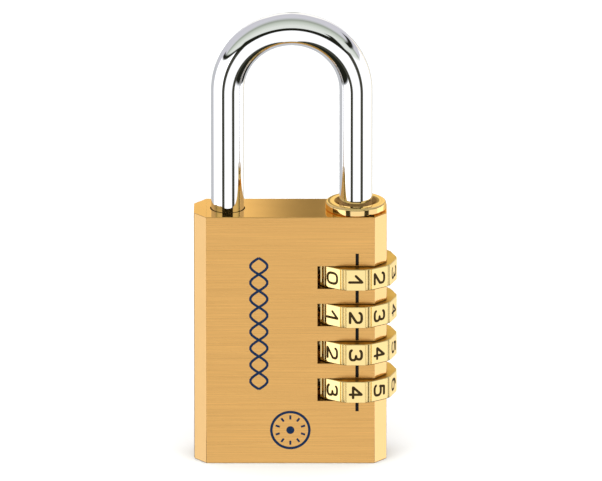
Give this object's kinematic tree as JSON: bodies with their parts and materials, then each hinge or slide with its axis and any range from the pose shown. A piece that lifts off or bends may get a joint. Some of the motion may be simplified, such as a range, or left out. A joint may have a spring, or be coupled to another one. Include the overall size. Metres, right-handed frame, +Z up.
{
  "type": "combination padlock",
  "caption": "Keyless padlock: solid brass body, steel shackle that lifts, and ten-digit dials that turn freely behind an index line.",
  "frame": {"origin": "centre of the body's flat bottom face", "axes": "+Z up from the bottom face to the bow of the shackle, +X towards the side that the dials stand out of, +Y to the back, so the index line faces -Y"},
  "size_m": [0.04, 0.0158, 0.0912],
  "materials": {
    "brushed_brass": "horizontally brushed faces with polished chamfers",
    "polished_brass": "polished",
    "machined_brass": "as turned",
    "shackle_chrome": "mirror polished",
    "spring_steel": "drawn wire and stamped sheet",
    "ball_steel": "ground",
    "index_paint": "satin black fill",
    "blue_ink": "thin pad-printed ink"
  },
  "bodies": {
    "lock_body": {"body": "brushed_brass", "bottom_plug": "machined_brass", "plug_pin": "ball_steel", "shackle_collar": "polished_brass", "thrust_washer": "spring_steel", "spacer_sleeve": "machined_brass", "lift_stop_washer": "spring_steel", "clutch_spring": "spring_steel", "detent_balls": "ball_steel", "detent_springs": "spring_steel", "index_marks": "index_paint", "front_print": "blue_ink"},
    "shackle": {"shackle": "shackle_chrome", "stem_clip": "spring_steel"},
    "dial_1": {"dial_1": "polished_brass", "code_sleeve_1": "machined_brass"},
    "dial_2": {"dial_2": "polished_brass", "code_sleeve_2": "machined_brass"},
    "dial_3": {"dial_3": "polished_brass", "code_sleeve_3": "machined_brass"},
    "dial_4": {"dial_4": "polished_brass", "code_sleeve_4": "machined_brass"}
  },
  "joints": [
    {"name": "shackle_lift", "type": "slide", "parent": "lock_body", "child": "shackle", "axis": [0, 0, 1], "range_m": [0, 0.007]},
    {"name": "dial_1_turn", "type": "hinge", "parent": "lock_body", "child": "dial_1", "pos_m": [0.0129, 0, 0.03855], "axis": [0, 0, 1], "continuous": true},
    {"name": "dial_2_turn", "type": "hinge", "parent": "lock_body", "child": "dial_2", "pos_m": [0.0129, 0, 0.0308], "axis": [0, 0, 1], "continuous": true},
    {"name": "dial_3_turn", "type": "hinge", "parent": "lock_body", "child": "dial_3", "pos_m": [0.0129, 0, 0.02305], "axis": [0, 0, 1], "continuous": true},
    {"name": "dial_4_turn", "type": "hinge", "parent": "lock_body", "child": "dial_4", "pos_m": [0.0129, 0, 0.0153], "axis": [0, 0, 1], "continuous": true}
  ]
}
